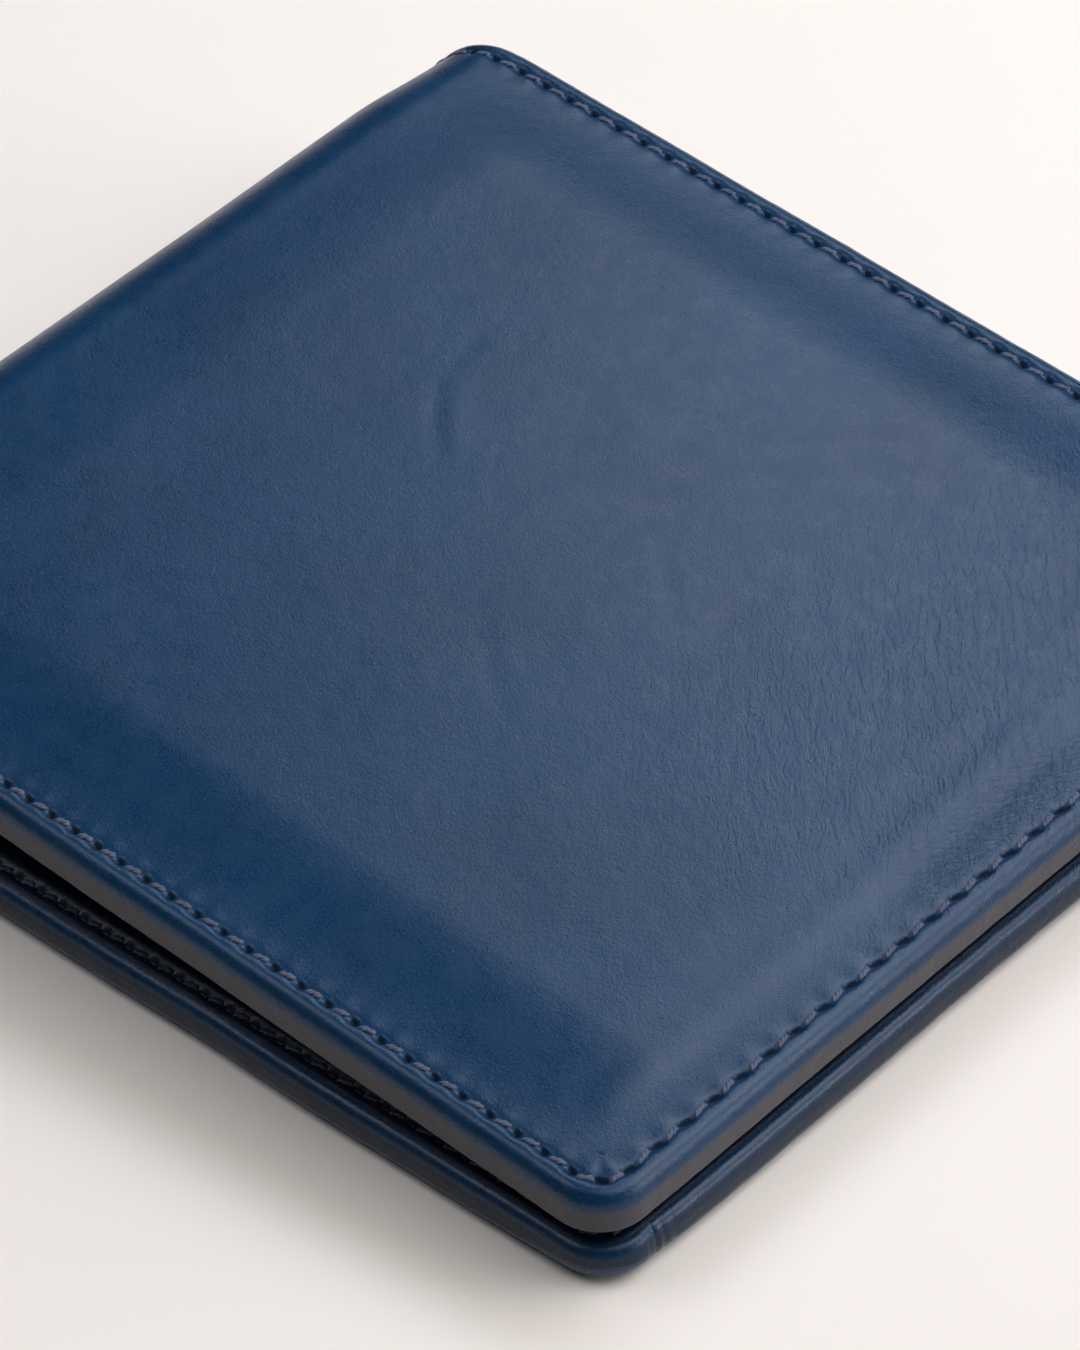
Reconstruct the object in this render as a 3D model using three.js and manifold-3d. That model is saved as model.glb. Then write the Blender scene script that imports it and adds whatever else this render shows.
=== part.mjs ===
// A leather bifold wallet, closed and lying on its lower leaf.
// Millimetres, +Z up. X runs from the spine (-X) to the open edge (+X), Y along the fold,
// the bill compartment opens towards +Y. The origin is under the middle of the closed wallet.
// Each leaf is built in a frame of its own: x from the spine to the open edge, y along the
// fold, and depth measured from the leaf's outer face inwards, towards the other leaf.

import * as THREE from 'three';
import { mergeVertices } from 'three/addons/utils/BufferGeometryUtils.js';
import Module from 'manifold-3d';

const wasm = await Module();
wasm.setup();

// ---------------------------------------------------------------- driving dimensions

const LEAF_LENGTH = 102.5;        // spine to open edge
const LEAF_HEIGHT = 100;          // along the fold
const CORNER_RADIUS = 4;
const SPINE_RADIUS = 7.5;         // outer radius of the two bends of the fold
const CLOSED_THICKNESS = 18;      // at the spine
const WEDGE = THREE.MathUtils.degToRad(4.1);   // the upper leaf slopes down to the open edge

const COVER_THICKNESS = 0.8;
const PILLOW = 0.5;               // the stitched margin lies this much below the middle
const RIM_THICKNESS = 4.1;        // edge where all the layers are sewn together
const ROLL_RADIUS = 1.6;          // the cover's turn round that edge, on the outer side
const EDGE_ROUNDING = 0.3;        // and on the inner side
const LINING_THICKNESS = 0.22;
const BILL_GAP = 0.33;            // the empty bill compartment, pressed flat
const PANEL_THICKNESS = 0.49;
const HEM_THICKNESS = 0.52;       // the cover's edge, thinned and turned in
const SLIP = 0.05;                // clearance between sheets that lie on each other
const SIDE_HEM_WIDTH = 6;
const TOP_HEM_WIDTH = 4.2;
const RIM_WALL = 1.4;             // leather between the rolled edge and the layers in it
const BOARD_INSET = 9;            // stiffening board, from the leaf's edges
const HINGE_GAP = 0.5;            // the leaves start this far from the bends

const CARD_MOUTHS = [34, 20, 6];  // y of the pockets' mouths, top to bottom
const MOUTH_BAR = 12;             // full-width part of a T-shaped pocket below its mouth
const LEG_LENGTH = 34;            // narrow part of a T-shaped pocket
const LEG_INSET = 5;
const PANEL_START = 3;            // the inner panels' edge on the spine side

const THREAD_WIDTH = 0.44;
const STITCH_INSET = 2.1;         // stitching, from the edge of the leather
const PANEL_SEAM_INSET = 2.2;

const HALF_HEIGHT = LEAF_HEIGHT / 2;
const PANEL_TOP = HALF_HEIGHT - TOP_HEM_WIDTH - 0.4;
const LAYER_END = RIM_WALL + 0.5; // sheets stop this far from the leather's edge
const CURVE_SEGMENTS = 6;

// Depths of the layers, from the outer face inwards.
const MARGIN_INNER = PILLOW + COVER_THICKNESS;
const LINING = [MARGIN_INNER + SLIP, MARGIN_INNER + SLIP + LINING_THICKNESS];
const WALL = [LINING[1] + BILL_GAP, LINING[1] + BILL_GAP + PANEL_THICKNESS];
const pocketDepth = (index) => {
  const start = WALL[1] + SLIP + index * (PANEL_THICKNESS + SLIP);
  return [start, start + PANEL_THICKNESS];
};
const RIM_INNER = PILLOW + RIM_THICKNESS;
const HEM_OUTER = RIM_INNER - HEM_THICKNESS;
const TOP_HEM = [LINING[1] + SLIP, LINING[1] + SLIP + HEM_THICKNESS];

// ---------------------------------------------------------------- materials

const material = (color, roughness) => new THREE.MeshStandardMaterial({ color, roughness, metalness: 0 });
const coverLeather = material(0x1c3a63, 0.42);
const pocketLeather = material(0x18304f, 0.5);
const liningFabric = material(0x10182a, 0.8);
const boardFibre = material(0x8c7a62, 0.9);
const thread = material(0x5a5c78, 0.6);

// ---------------------------------------------------------------- solids

function toManifold(geometry) {
  const bare = geometry.clone();
  bare.deleteAttribute('normal');
  bare.deleteAttribute('uv');
  const merged = mergeVertices(bare, 1e-4);
  return new wasm.Manifold(new wasm.Mesh({
    numProp: 3,
    vertProperties: new Float32Array(merged.attributes.position.array),
    triVerts: new Uint32Array(merged.index.array),
  }));
}

function toGeometry(manifold) {
  const mesh = manifold.getMesh();
  const geometry = new THREE.BufferGeometry();
  geometry.setAttribute('position', new THREE.BufferAttribute(mesh.vertProperties, 3));
  geometry.setIndex(new THREE.BufferAttribute(mesh.triVerts, 1));
  geometry.computeVertexNormals();
  return geometry;
}

// A rectangle whose two corners on the open-edge side are round.
function leafOutline(x0, x1, y0, y1, radius) {
  const shape = new THREE.Shape();
  shape.moveTo(x0, y0);
  shape.lineTo(x1 - radius, y0);
  shape.absarc(x1 - radius, y0 + radius, radius, -Math.PI / 2, 0);
  shape.lineTo(x1, y1 - radius);
  shape.absarc(x1 - radius, y1 - radius, radius, 0, Math.PI / 2);
  shape.lineTo(x0, y1);
  shape.closePath();
  return shape;
}

function polygon(points) {
  return new THREE.Shape(points.map(([x, y]) => new THREE.Vector2(x, y)));
}

// A flat layer between two depths.
function layer(shape, [from, to]) {
  const geometry = new THREE.ExtrudeGeometry(shape, {
    depth: to - from,
    bevelEnabled: false,
    curveSegments: CURVE_SEGMENTS,
  });
  geometry.translate(0, 0, from);
  return geometry;
}

// A layer whose edges are rounded or sloped by a bevel of the given width and height.
function bevelledLayer(shape, [from, to], width, height, segments) {
  const geometry = new THREE.ExtrudeGeometry(shape, {
    depth: to - from - 2 * height,
    bevelEnabled: true,
    bevelSize: width,
    bevelOffset: -width,
    bevelThickness: height,
    bevelSegments: segments,
    curveSegments: CURVE_SEGMENTS,
  });
  geometry.translate(0, 0, from + height);
  return geometry;
}

function block(x0, x1, y0, y1, z0, z1) {
  const geometry = new THREE.BoxGeometry(x1 - x0, y1 - y0, z1 - z0);
  geometry.translate((x0 + x1) / 2, (y0 + y1) / 2, (z0 + z1) / 2);
  return toManifold(geometry);
}

// ---------------------------------------------------------------- one leaf

const BEYOND = 5;                 // how far cutting blocks reach past what they cut

// The cover: one sheet with a raised middle, turned round the flat side of the sewn layers on
// three sides and in as a hem.
function coverGeometry() {
  const flatSide = [PILLOW + ROLL_RADIUS + 0.1, RIM_INNER];
  const outline = leafOutline(-BEYOND, LEAF_LENGTH, -HALF_HEIGHT, HALF_HEIGHT, CORNER_RADIUS);
  const slope = 2;
  const slopeStart = 4;
  const middle = leafOutline(
    -BEYOND, LEAF_LENGTH - slopeStart, -HALF_HEIGHT + slopeStart, HALF_HEIGHT - slopeStart, CORNER_RADIUS - 1);
  const channel = leafOutline(
    -BEYOND, LEAF_LENGTH - RIM_WALL, -HALF_HEIGHT + RIM_WALL, HALF_HEIGHT - RIM_WALL, CORNER_RADIUS - RIM_WALL);
  const opening = leafOutline(
    -BEYOND, LEAF_LENGTH - SIDE_HEM_WIDTH, -HALF_HEIGHT + SIDE_HEM_WIDTH, HALF_HEIGHT, 1);
  const board = leafOutline(
    -BEYOND, LEAF_LENGTH - BOARD_INSET + SLIP, -HALF_HEIGHT + BOARD_INSET - SLIP,
    HALF_HEIGHT - BOARD_INSET + SLIP, 2);
  const topHemStart = HALF_HEIGHT - TOP_HEM_WIDTH;

  const deepChannel = toManifold(layer(channel, [MARGIN_INNER, HEM_OUTER]))
    .subtract(block(-2 * BEYOND, LEAF_LENGTH, topHemStart, HALF_HEIGHT, TOP_HEM[0], HEM_OUTER + 1));
  const turned = [PILLOW, PILLOW + 2 * ROLL_RADIUS + 0.2];
  const solid = toManifold(bevelledLayer(outline, turned, ROLL_RADIUS, ROLL_RADIUS, 4))
    .add(toManifold(bevelledLayer(outline, flatSide, EDGE_ROUNDING, EDGE_ROUNDING, 2)))
    .add(toManifold(bevelledLayer(middle, [0, MARGIN_INNER], slope, PILLOW, 1)))
    .subtract(deepChannel)
    .subtract(toManifold(layer(opening, [HEM_OUTER - 1, RIM_INNER + 1])))
    .subtract(block(-BEYOND, LEAF_LENGTH + 1, topHemStart, HALF_HEIGHT + 1, TOP_HEM[1], RIM_INNER + 1))
    .subtract(toManifold(layer(board, [COVER_THICKNESS, MARGIN_INNER + 1])))
    .subtract(block(-2 * BEYOND, HINGE_GAP, -2 * HALF_HEIGHT, 2 * HALF_HEIGHT, -1, RIM_INNER + 1));
  return toGeometry(solid);
}

function boardGeometry() {
  return layer(
    leafOutline(2, LEAF_LENGTH - BOARD_INSET, -HALF_HEIGHT + BOARD_INSET, HALF_HEIGHT - BOARD_INSET, 2),
    [COVER_THICKNESS + SLIP, MARGIN_INNER]);
}

function liningGeometry() {
  const edge = HALF_HEIGHT - LAYER_END;
  return layer(leafOutline(HINGE_GAP, LEAF_LENGTH - LAYER_END, -edge, edge, 4), LINING);
}

function wallGeometry() {
  const outline = leafOutline(PANEL_START, LEAF_LENGTH - LAYER_END, -HALF_HEIGHT + LAYER_END, PANEL_TOP, 4);
  return layer(outline, WALL);
}

// A T-shaped card pocket: a full-width bar under its mouth and a narrower leg behind the next one.
function cardPocketGeometry(index) {
  const mouth = CARD_MOUTHS[index];
  const left = PANEL_START;
  const right = LEAF_LENGTH - LAYER_END;
  const barBottom = mouth - MOUTH_BAR;
  const legBottom = barBottom - LEG_LENGTH;
  return layer(polygon([
    [left, mouth],
    [left, barBottom],
    [left + LEG_INSET, barBottom],
    [left + LEG_INSET, legBottom],
    [right - LEG_INSET, legBottom],
    [right - LEG_INSET, barBottom],
    [right, barBottom],
    [right, mouth],
  ]), pocketDepth(index));
}

function frontPocketGeometry() {
  const right = LEAF_LENGTH - LAYER_END;
  const bottom = -HALF_HEIGHT + LAYER_END;
  const mouth = CARD_MOUTHS[2];
  const outline = new THREE.Shape();
  outline.moveTo(PANEL_START, bottom);
  outline.lineTo(right - 4, bottom);
  outline.absarc(right - 4, bottom + 4, 4, -Math.PI / 2, 0);
  outline.lineTo(right, mouth);
  outline.lineTo(PANEL_START, mouth);
  outline.closePath();
  return layer(outline, pocketDepth(2));
}

// A stitched thread as a flat ribbon along the bottom, the open edge and, if asked, the top.
function threadGeometry(depth, withTop) {
  const outer = STITCH_INSET - THREAD_WIDTH / 2;
  const inner = STITCH_INSET + THREAD_WIDTH / 2;
  const top = withTop ? HALF_HEIGHT : HALF_HEIGHT + CORNER_RADIUS;
  const band = (inset, x0) => leafOutline(
    x0, LEAF_LENGTH - inset, -HALF_HEIGHT + inset, top - inset, CORNER_RADIUS - inset);
  const range = [depth, depth + THREAD_WIDTH - 2 * SLIP];
  let solid = toManifold(layer(band(outer, HINGE_GAP), range))
    .subtract(toManifold(layer(band(inner, -BEYOND), [range[0] - 1, range[1] + 1])));
  if (!withTop) {
    solid = solid.subtract(block(
      -BEYOND, LEAF_LENGTH + 1, PANEL_TOP - 1, HALF_HEIGHT + 2 * CORNER_RADIUS, range[0] - 1, range[1] + 1));
  }
  return toGeometry(solid);
}

function topHemThreadGeometry() {
  const y = HALF_HEIGHT - STITCH_INSET;
  const halfWidth = THREAD_WIDTH / 2;
  return layer(polygon([
    [HINGE_GAP, y - halfWidth],
    [LEAF_LENGTH - CORNER_RADIUS, y - halfWidth],
    [LEAF_LENGTH - CORNER_RADIUS, y + halfWidth],
    [HINGE_GAP, y + halfWidth],
  ]), [TOP_HEM[1] + SLIP, TOP_HEM[1] + THREAD_WIDTH - SLIP]);
}

// The seam that closes the pockets on the spine side. It steps down from panel to panel, so its
// outline is drawn from the side, along y and depth, and given the thread's width along x.
function panelSeamGeometry() {
  const thickness = THREAD_WIDTH - 2 * SLIP;
  const levels = [pocketDepth(2)[1], pocketDepth(1)[1], pocketDepth(0)[1], WALL[1]].map((d) => d + SLIP);
  const steps = [CARD_MOUTHS[2], CARD_MOUTHS[1], CARD_MOUTHS[0]].map((y) => y + SLIP);
  const bottom = -HALF_HEIGHT + SIDE_HEM_WIDTH + 0.5;
  const top = PANEL_TOP - 1;
  const near = [[bottom, levels[0]]];
  const far = [[bottom, levels[0] + thickness]];
  steps.forEach((y, i) => {
    near.push([y, levels[i]], [y, levels[i + 1]]);
    far.push([y + thickness, levels[i] + thickness], [y + thickness, levels[i + 1] + thickness]);
  });
  near.push([top, levels[3]]);
  far.push([top, levels[3] + thickness]);
  const geometry = new THREE.ExtrudeGeometry(polygon([...near, ...far.reverse()]), {
    depth: THREAD_WIDTH,
    bevelEnabled: false,
  });
  // Profile axes (y, depth) and extrusion become Y, Z and X.
  geometry.applyMatrix4(new THREE.Matrix4().makeBasis(
    new THREE.Vector3(0, 1, 0), new THREE.Vector3(0, 0, 1), new THREE.Vector3(1, 0, 0)));
  geometry.translate(PANEL_START + PANEL_SEAM_INSET - THREAD_WIDTH / 2, 0, 0);
  return geometry;
}

// The lower leaf uses a geometry as it is; the upper leaf is its mirror image in y, turned over.
function mirrored(geometry) {
  const copy = mergeVertices(geometry.deleteAttribute('normal').deleteAttribute('uv'), 1e-5);
  copy.scale(1, -1, 1);
  const index = copy.index.array;
  for (let i = 0; i < index.length; i += 3) {
    [index[i], index[i + 1]] = [index[i + 1], index[i]];
  }
  copy.computeVertexNormals();
  return copy;
}

function leaf(name, turnedOver) {
  const pieces = {
    [`cover_${name}`]: [coverGeometry(), coverLeather],
    [`stiffener_board_${name}`]: [boardGeometry(), boardFibre],
    [`lining_${name}`]: [liningGeometry(), liningFabric],
    [`inner_wall_${name}`]: [wallGeometry(), pocketLeather],
    [`card_pocket_top_${name}`]: [cardPocketGeometry(0), pocketLeather],
    [`card_pocket_middle_${name}`]: [cardPocketGeometry(1), pocketLeather],
    [`front_pocket_${name}`]: [frontPocketGeometry(), pocketLeather],
    [`stitching_outer_${name}`]: [threadGeometry(SLIP, true), thread],
    [`stitching_inner_${name}`]: [threadGeometry(RIM_INNER + SLIP, false), thread],
    [`stitching_top_hem_${name}`]: [topHemThreadGeometry(), thread],
    [`pocket_seam_${name}`]: [panelSeamGeometry(), thread],
  };
  const group = new THREE.Group();
  for (const [pieceName, [geometry, pieceMaterial]] of Object.entries(pieces)) {
    const mesh = new THREE.Mesh(turnedOver ? mirrored(geometry) : geometry, pieceMaterial.clone());
    mesh.name = pieceName;
    group.add(mesh);
  }
  if (turnedOver) group.rotation.x = Math.PI;
  return group;
}

// ---------------------------------------------------------------- the spine

const UPPER_BEND_CENTRE = CLOSED_THICKNESS - SPINE_RADIUS;
const LOWER_BEND_CENTRE = SPINE_RADIUS;

// A strip of the fold between two depths, in the x-z plane: bend, short upright, bend.
function spineProfile([from, to]) {
  const outer = SPINE_RADIUS - from;
  const inner = SPINE_RADIUS - to;
  const upperEnd = Math.PI / 2 - WEDGE;
  const shape = new THREE.Shape();
  shape.absarc(0, UPPER_BEND_CENTRE, outer, upperEnd, Math.PI, false);
  shape.absarc(0, LOWER_BEND_CENTRE, outer, Math.PI, 1.5 * Math.PI, false);
  shape.absarc(0, LOWER_BEND_CENTRE, inner, 1.5 * Math.PI, Math.PI, true);
  shape.absarc(0, UPPER_BEND_CENTRE, inner, Math.PI, upperEnd, true);
  shape.closePath();
  return shape;
}

function spineStrip(depths, y0, y1) {
  const geometry = new THREE.ExtrudeGeometry(spineProfile(depths), {
    depth: y1 - y0,
    bevelEnabled: false,
    curveSegments: 10,
  });
  // The profile's z and the extrusion become Z and -Y.
  geometry.rotateX(Math.PI / 2);
  geometry.translate(0, y1, 0);
  return geometry;
}

function spine() {
  const hem = TOP_HEM_WIDTH;
  const cover = toManifold(spineStrip([0, COVER_THICKNESS], -HALF_HEIGHT + hem - 1, HALF_HEIGHT - hem + 1))
    .add(toManifold(spineStrip([PILLOW, TOP_HEM[1]], -HALF_HEIGHT, -HALF_HEIGHT + hem)))
    .add(toManifold(spineStrip([PILLOW, TOP_HEM[1]], HALF_HEIGHT - hem, HALF_HEIGHT)));
  const liningEdge = HALF_HEIGHT - hem - 0.3;
  const stitch = HALF_HEIGHT - STITCH_INSET;
  const halfWidth = THREAD_WIDTH / 2;
  const threadDepths = [2 * SLIP, THREAD_WIDTH];
  const pieces = {
    cover_spine: [toGeometry(cover), coverLeather],
    lining_spine: [spineStrip(LINING, -liningEdge, liningEdge), liningFabric],
    stitching_spine_bottom: [spineStrip(threadDepths, -stitch - halfWidth, -stitch + halfWidth), thread],
    stitching_spine_top: [spineStrip(threadDepths, stitch - halfWidth, stitch + halfWidth), thread],
  };
  const group = new THREE.Group();
  for (const [pieceName, [geometry, pieceMaterial]] of Object.entries(pieces)) {
    const mesh = new THREE.Mesh(geometry, pieceMaterial.clone());
    mesh.name = pieceName;
    group.add(mesh);
  }
  return group;
}

// ---------------------------------------------------------------- assembly

// The upper leaf starts where the upper bend ends, tangent to it.
const upperStart = new THREE.Vector3(
  SPINE_RADIUS * Math.sin(WEDGE), 0, UPPER_BEND_CENTRE + SPINE_RADIUS * Math.cos(WEDGE));
const openEdge = upperStart.x + LEAF_LENGTH * Math.cos(WEDGE);
const foldX = (SPINE_RADIUS - openEdge) / 2;   // puts the closed wallet's middle at x = 0

const upperLeaf = new THREE.Group();
upperLeaf.position.copy(upperStart);
upperLeaf.rotation.y = WEDGE;
upperLeaf.add(leaf('upper', true));

const wallet = new THREE.Group();
wallet.position.x = foldX;
wallet.add(leaf('lower', false), spine(), upperLeaf);

export default wallet;
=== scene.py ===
# A closed leather bifold wallet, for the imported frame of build/part.mjs.
# Lengths in this script are millimetres unless a name says otherwise; place() turns them into
# metres. Each leaf is described unrolled: s runs from the middle of the spine (negative) over
# the start of the leaf (0) to its open edge, y along the fold, and n is the depth from the
# leaf's outer face inwards.
import math
import random

import bpy
import numpy as np
from mathutils import Matrix, Vector, noise


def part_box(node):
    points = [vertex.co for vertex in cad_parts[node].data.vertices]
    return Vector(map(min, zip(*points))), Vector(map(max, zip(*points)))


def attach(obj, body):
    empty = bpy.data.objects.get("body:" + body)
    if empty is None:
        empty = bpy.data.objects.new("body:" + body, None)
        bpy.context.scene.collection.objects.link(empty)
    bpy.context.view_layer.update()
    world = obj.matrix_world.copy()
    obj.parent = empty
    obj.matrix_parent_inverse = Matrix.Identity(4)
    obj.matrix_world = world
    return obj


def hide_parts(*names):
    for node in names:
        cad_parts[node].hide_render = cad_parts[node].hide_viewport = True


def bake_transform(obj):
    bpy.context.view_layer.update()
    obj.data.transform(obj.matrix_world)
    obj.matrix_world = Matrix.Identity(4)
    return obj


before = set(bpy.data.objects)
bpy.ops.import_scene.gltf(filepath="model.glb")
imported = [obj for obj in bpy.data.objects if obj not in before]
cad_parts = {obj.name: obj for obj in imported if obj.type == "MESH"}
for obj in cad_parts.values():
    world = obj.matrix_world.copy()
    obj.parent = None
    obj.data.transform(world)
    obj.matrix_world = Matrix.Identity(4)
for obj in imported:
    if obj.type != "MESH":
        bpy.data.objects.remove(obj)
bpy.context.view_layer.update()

MM = 0.001

# ---- dimensions, as in part.mjs

LEAF_LENGTH = 102.5
HALF_HEIGHT = 50.0
CORNER_RADIUS = 4.8  # a little rounder than the plain CAD's 4
BEND_RADIUS = 7.5
CLOSED_THICKNESS = 18.0
WEDGE = math.radians(4.1)
HALF_UPRIGHT = 1.5
MARGIN_DEPTH = 0.5
RIM_THICKNESS = 4.1
TOP_RIM_THICKNESS = 1.64
SIDE_HEM = 5.9
TOP_HEM = 4.2
STITCH_INSET = 2.1
PANEL_TOP = 45.4
CARD_MOUTHS = (34.0, 20.0, 6.0)
MOUTH_BAR = 12.0
LEG_LENGTH = 34.0
LEG_INSET = 5.0
PANEL_START = 3.0
PANEL_END = 100.6
PANEL_BOTTOM = -48.1
PANEL_CORNER = 4.0
LINING_SHOULDER = 0.5  # where the lining narrows to cross the spine
LINING_SPINE_HALF = 45.5
SEAM_X = 5.2
LINING_DEPTHS = (1.35, 1.57)
WALL_DEPTHS = (1.90, 2.39)
POCKET_DEPTHS = ((2.44, 2.93), (2.98, 3.47), (3.52, 4.01))

SPINE_PULL = 2.3  # how far the ends of the spine are drawn in by the fold

fold_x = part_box("cover_lower")[1].x / MM - LEAF_LENGTH
upper_x = fold_x + BEND_RADIUS * math.sin(WEDGE)
upper_z = CLOSED_THICKNESS - BEND_RADIUS + BEND_RADIUS * math.cos(WEDGE)

LEAVES = {
    "lower": {
        "turn": math.pi / 2,
        "origin": (fold_x, 0.0),
        "along": (1.0, 0.0),
        "inward": (0.0, 1.0),
    },
    "upper": {
        "turn": math.pi / 2 + WEDGE,
        "origin": (upper_x, upper_z),
        "along": (math.cos(WEDGE), -math.sin(WEDGE)),
        "inward": (-math.sin(WEDGE), -math.cos(WEDGE)),
    },
}


def to_world(leaf, x, y, depth):
    """Points of a leaf's own frame, in metres in the row frame."""
    ox, oz = leaf["origin"]
    ax, az = leaf["along"]
    ix, iz = leaf["inward"]
    wx = ox + x * ax + depth * ix
    wz = oz + x * az + depth * iz
    return np.stack([wx, np.broadcast_to(y, wx.shape), wz], -1) * MM


def place(leaf, s, y, n):
    """Unrolled points, rolled round the bend and set in the row frame."""
    turn = leaf["turn"]
    to_spine = smooth(0, 1, (s - PANEL_START) / (spine_middle(leaf) - PANEL_START))
    pull = SPINE_PULL * to_spine * smooth(36, 50, np.abs(y))
    y = y - np.sign(y) * pull
    angle = np.clip(-s / BEND_RADIUS, 0, turn)
    past = np.maximum(0, -s - BEND_RADIUS * turn)
    x = np.maximum(s, 0) - (BEND_RADIUS - n) * np.sin(angle) - past * math.cos(turn)
    depth = BEND_RADIUS - (BEND_RADIUS - n) * np.cos(angle) + past * math.sin(turn)
    return to_world(leaf, x, y, depth)


def spine_middle(leaf):
    return -(BEND_RADIUS * leaf["turn"] + HALF_UPRIGHT)


def blend_fold(obj):
    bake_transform(obj)


# ---- small helpers


def smooth(low, high, value):
    t = np.clip((value - low) / (high - low), 0, 1)
    return t * t * (3 - 2 * t)


def bump(value, centre, width):
    return np.exp(-(((value - centre) / width) ** 2))


def field(s, y, size, seed, stretch=(1.0, 1.0), turn=0.0):
    """Smooth noise between about -1 and 1, with features of the given size."""
    c, q = math.cos(turn), math.sin(turn)
    u = (s * c + y * q) / (size * stretch[0])
    v = (y * c - s * q) / (size * stretch[1])
    flat_u, flat_v = np.ravel(u), np.ravel(v)
    values = [noise.noise(Vector((a, b, seed))) for a, b in zip(flat_u, flat_v)]
    return np.array(values).reshape(np.shape(u)) * 1.6


def new_mesh(name, points, quads, tris=None, attributes=None, flip=False):
    """An object with smooth shading from arrays of points, quads and triangles."""
    polygons = [q for q in (quads, tris) if q is not None and len(q)]
    loops = np.concatenate([(q[:, ::-1] if flip else q).ravel() for q in polygons])
    sizes = np.concatenate([np.full(len(q), q.shape[1]) for q in polygons])
    mesh = bpy.data.meshes.new(name)
    mesh.vertices.add(len(points))
    mesh.vertices.foreach_set("co", points.astype(np.float32).ravel())
    mesh.loops.add(len(loops))
    mesh.loops.foreach_set("vertex_index", loops.astype(np.int32))
    mesh.polygons.add(len(sizes))
    starts = np.concatenate([[0], np.cumsum(sizes)[:-1]])
    mesh.polygons.foreach_set("loop_start", starts.astype(np.int32))
    mesh.polygons.foreach_set("use_smooth", np.ones(len(sizes), bool))
    mesh.update(calc_edges=True)
    mesh.validate()
    for key, values in (attributes or {}).items():
        if values.ndim == 2:
            layer = mesh.attributes.new(key, "FLOAT_VECTOR", "POINT")
            layer.data.foreach_set("vector", values.astype(np.float32).ravel())
        else:
            layer = mesh.attributes.new(key, "FLOAT", "POINT")
            layer.data.foreach_set("value", values.astype(np.float32))
    obj = bpy.data.objects.new(name, mesh)
    bpy.context.scene.collection.objects.link(obj)
    return obj


def spaced(start, stop, step):
    count = max(2, int(round(abs(stop - start) / step)) + 1)
    return np.linspace(start, stop, count)


def grid_quads(rows, columns, first=0):
    """Quads of a grid of points stored row by row; counter-clockwise for (column, row) axes."""
    r, c = np.meshgrid(np.arange(rows - 1), np.arange(columns - 1), indexing="ij")
    a = first + r * columns + c
    return np.stack([a, a + 1, a + columns + 1, a + columns], -1).reshape(-1, 4)


# ---- the path round a leaf


class Path:
    """Runs round a leaf from the spine along -Y, the open edge and +Y back to the spine."""

    def __init__(self, leaf, step):
        arc_length = (CORNER_RADIUS - STITCH_INSET) * math.pi / 2
        straight_x = LEAF_LENGTH - CORNER_RADIUS
        straight_y = HALF_HEIGHT - CORNER_RADIUS
        s_side = spaced(spine_middle(leaf), straight_x, step)
        turn = spaced(0, math.pi / 2, math.pi / 2 / math.ceil(arc_length / step))[1:-1]
        y_side = spaced(-straight_y, straight_y, step)
        sides, corners, across = len(s_side), len(turn), len(y_side)
        self.cs = np.concatenate([s_side, np.full(2 * corners + across, straight_x), s_side[::-1]])
        self.cy = np.concatenate([np.full(sides + corners, -straight_y), y_side,
                                  np.full(corners + sides, straight_y)])
        angle = np.concatenate([np.full(sides, -math.pi / 2), turn - math.pi / 2, np.zeros(across),
                                turn, np.full(sides, math.pi / 2)])
        self.os, self.oy = np.cos(angle), np.sin(angle)
        s, y = self.at(STITCH_INSET)
        self.u = np.concatenate([[0], np.cumsum(np.hypot(np.diff(s), np.diff(y)))])
        self.corner_u = (self.u[len(s_side) - 1], self.u[-len(s_side)])

    def at(self, inset):
        """s and y of the path at a distance inside the leaf's edge."""
        reach = CORNER_RADIUS - inset
        s = np.minimum(self.cs + reach * self.os, LEAF_LENGTH - inset)
        reach_y = np.maximum(HALF_HEIGHT - inset, 0)
        y = np.clip(self.cy + reach * self.oy, -reach_y, reach_y)
        return s, y

    def along(self, u, inset):
        """s, y and the outward direction at the given lengths along the stitching row."""
        cs, cy = np.interp(u, self.u, self.cs), np.interp(u, self.u, self.cy)
        os, oy = np.interp(u, self.u, self.os), np.interp(u, self.u, self.oy)
        length = np.hypot(os, oy)
        os, oy = os / length, oy / length
        reach = CORNER_RADIUS - inset
        return cs + reach * os, cy + reach * oy, os, oy


def edge_distance(s, y):
    qs = s - (LEAF_LENGTH - CORNER_RADIUS)
    qy = np.abs(y) - (HALF_HEIGHT - CORNER_RADIUS)
    outside = np.hypot(np.maximum(qs, 0), np.maximum(qy, 0))
    inside = np.minimum(np.maximum(qs, qy), 0)
    return CORNER_RADIUS - outside - inside


def rim_share(s, y):
    """1 where the edge holds all the layers, 0 along the bill compartment and the spine."""
    return smooth(0.5, 7.5, s) * (1 - smooth(42.5, 47.5, y))


def rim_thickness(s, y):
    return TOP_RIM_THICKNESS + (RIM_THICKNESS - TOP_RIM_THICKNESS) * rim_share(s, y)


def hem_width(s, y):
    return TOP_HEM + (SIDE_HEM - TOP_HEM) * smooth(0.5, 8, s) * (1 - smooth(40, 45.5, y))


# ---- stitching layout

SPINE_PITCH = 2.65
SIDE_PITCH = 2.95
CORNER_PITCH = 2.65
OPEN_PITCH = 3.3
TOP_PITCH = 3.0
NEAR_SPINE = 62.0  # length along the row where the stitches get longer
THREAD_SHARE = 0.62  # of the pitch that the thread lies on the surface
SLIT_SLANT = math.radians(18)
THREAD_SLANT = 0.2  # sideways reach of a stitch from the row's middle
HOLE_SCATTER = 0.06
ROW_END = 1.5  # no further hole is tried this close to an end of the row


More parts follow.
